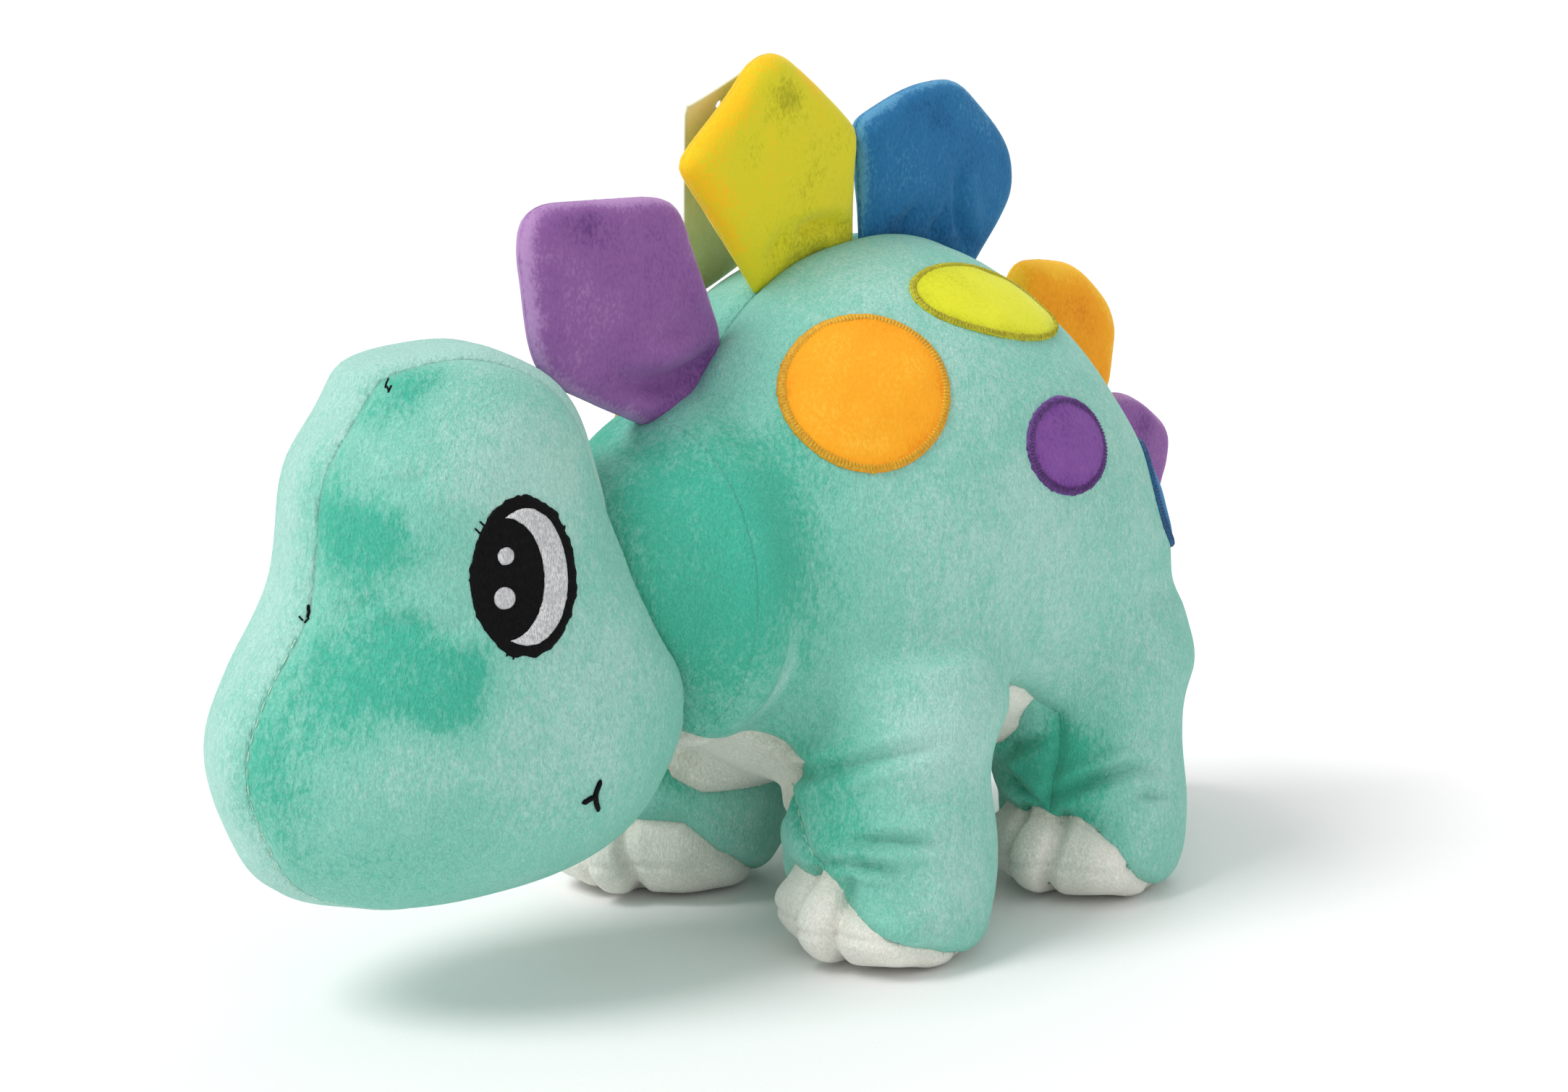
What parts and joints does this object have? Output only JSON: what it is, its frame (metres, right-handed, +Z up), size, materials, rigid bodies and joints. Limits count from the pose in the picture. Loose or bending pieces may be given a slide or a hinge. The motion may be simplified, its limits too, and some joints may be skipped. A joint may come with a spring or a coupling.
{
  "type": "stuffed toy dinosaur",
  "caption": "Standing plush dinosaur with padded back plates, stitched eyes, round spots, cream belly and toes, a soft neck and tail that bend, and a blank swing tag.",
  "frame": {"origin": "on the floor under the middle of the whole toy's box", "axes": "the animal faces -Y, its left side is +X, +Z is up"},
  "size_m": [0.1948, 0.4531, 0.316],
  "materials": {
    "filling": "white polyester fibre filling",
    "cream_plush": "short cream pile",
    "mint_plush": "mint green short pile plush with a brushed nap",
    "orange_patch": "orange pile patch with an orange satin stitched rim",
    "yellow_patch": "yellow pile patch with a yellow satin stitched rim",
    "purple_patch": "purple pile patch with a dark purple satin stitched rim",
    "blue_patch": "blue pile patch with a blue satin stitched rim",
    "purple_velboa": "smooth purple short pile",
    "yellow_velboa": "smooth yellow short pile",
    "blue_velboa": "smooth blue short pile",
    "orange_velboa": "smooth orange short pile",
    "white_thread": "white satin embroidery thread",
    "black_thread": "black satin embroidery thread",
    "card": "blank coated card",
    "black_ribbon": "black woven ribbon"
  },
  "bodies": {
    "torso": {"torso_stuffing": "filling", "belly_panel": "cream_plush", "left_body_panel": "mint_plush", "right_body_panel": "mint_plush", "front_left_leg_stuffing": "filling", "front_left_sole": "cream_plush", "front_left_toes": "cream_plush", "front_left_leg_skin": "mint_plush", "front_right_leg_stuffing": "filling", "front_right_sole": "cream_plush", "front_right_toes": "cream_plush", "front_right_leg_skin": "mint_plush", "hind_left_leg_stuffing": "filling", "hind_left_sole": "cream_plush", "hind_left_toes": "cream_plush", "hind_left_leg_skin": "mint_plush", "hind_right_leg_stuffing": "filling", "hind_right_sole": "cream_plush", "hind_right_toes": "cream_plush", "hind_right_leg_skin": "mint_plush", "left_orange_spot": "orange_patch", "left_yellow_spot": "yellow_patch", "left_purple_spot": "purple_patch", "left_blue_spot": "blue_patch", "right_orange_spot": "orange_patch", "right_yellow_spot": "yellow_patch", "right_purple_spot": "purple_patch", "right_blue_spot": "blue_patch", "tag_loop": "black_ribbon"},
    "neck": {"neck_stuffing": "filling", "neck_skin": "mint_plush"},
    "head": {"head_stuffing": "filling", "head_gusset": "mint_plush", "head_left_panel": "mint_plush", "head_right_panel": "mint_plush", "left_eye_white": "white_thread", "left_eye_black": "black_thread", "right_eye_white": "white_thread", "right_eye_black": "black_thread", "nostril_stitches": "black_thread", "mouth_stitches": "black_thread"},
    "tail": {"tail_stuffing": "filling", "tail_left_panel": "mint_plush", "tail_right_panel": "mint_plush"},
    "tag": {"swing_tag": "card"},
    "purple_front_plate": {"purple_front_plate_filling": "filling", "purple_front_plate_left_face": "purple_velboa", "purple_front_plate_right_face": "purple_velboa"},
    "yellow_plate": {"yellow_plate_filling": "filling", "yellow_plate_left_face": "yellow_velboa", "yellow_plate_right_face": "yellow_velboa"},
    "blue_plate": {"blue_plate_filling": "filling", "blue_plate_left_face": "blue_velboa", "blue_plate_right_face": "blue_velboa"},
    "orange_plate": {"orange_plate_filling": "filling", "orange_plate_left_face": "orange_velboa", "orange_plate_right_face": "orange_velboa"},
    "purple_rear_plate": {"purple_rear_plate_filling": "filling", "purple_rear_plate_left_face": "purple_velboa", "purple_rear_plate_right_face": "purple_velboa"}
  },
  "joints": [
    {"name": "neck_turn", "type": "hinge", "parent": "torso", "child": "neck", "pos_m": [0, -0.071, 0.141], "axis": [0, 0, 1], "range_deg": [-6, 25], "stiffness_Nm_per_rad": 1},
    {"name": "head_nod", "type": "hinge", "parent": "neck", "child": "head", "pos_m": [0, -0.071, 0.141], "axis": [0.9397, -0.342, 0], "range_deg": [-1, 9], "stiffness_Nm_per_rad": 1.6, "springref_deg": -2.58},
    {"name": "purple_front_plate_flop", "type": "hinge", "parent": "torso", "child": "purple_front_plate", "pos_m": [0, -0.05066, 0.2004], "axis": [0, 0.7547, 0.6561], "range_deg": [-6, 6], "stiffness_Nm_per_rad": 0.02},
    {"name": "yellow_plate_flop", "type": "hinge", "parent": "torso", "child": "yellow_plate", "pos_m": [0, 0.00876, 0.24515], "axis": [0, 0.9703, 0.2419], "range_deg": [0, 25], "stiffness_Nm_per_rad": 0.02},
    {"name": "blue_plate_flop", "type": "hinge", "parent": "torso", "child": "blue_plate", "pos_m": [0, 0.06814, 0.247], "axis": [0, 0.9903, -0.1392], "range_deg": [-20, 20], "stiffness_Nm_per_rad": 0.02},
    {"name": "orange_plate_flop", "type": "hinge", "parent": "torso", "child": "orange_plate", "pos_m": [0, 0.13672, 0.18827], "axis": [0, 0.6947, -0.7193], "range_deg": [-12, 12], "stiffness_Nm_per_rad": 0.02},
    {"name": "purple_rear_plate_flop", "type": "hinge", "parent": "torso", "child": "purple_rear_plate", "pos_m": [0, 0.16888, 0.14426], "axis": [0, 0.4695, -0.8829], "range_deg": [-12, 12], "stiffness_Nm_per_rad": 0.02},
    {"name": "tail_wag", "type": "hinge", "parent": "torso", "child": "tail", "pos_m": [0, 0.175, 0.078], "axis": [0, 0, 1], "range_deg": [-15, 15], "stiffness_Nm_per_rad": 0.2},
    {"name": "tag_fold", "type": "hinge", "parent": "torso", "child": "tag", "pos_m": [-0.042, 0.007, 0.2315], "axis": [0, 0.9205, 0.3907], "range_deg": [-100, 0]}
  ]
}
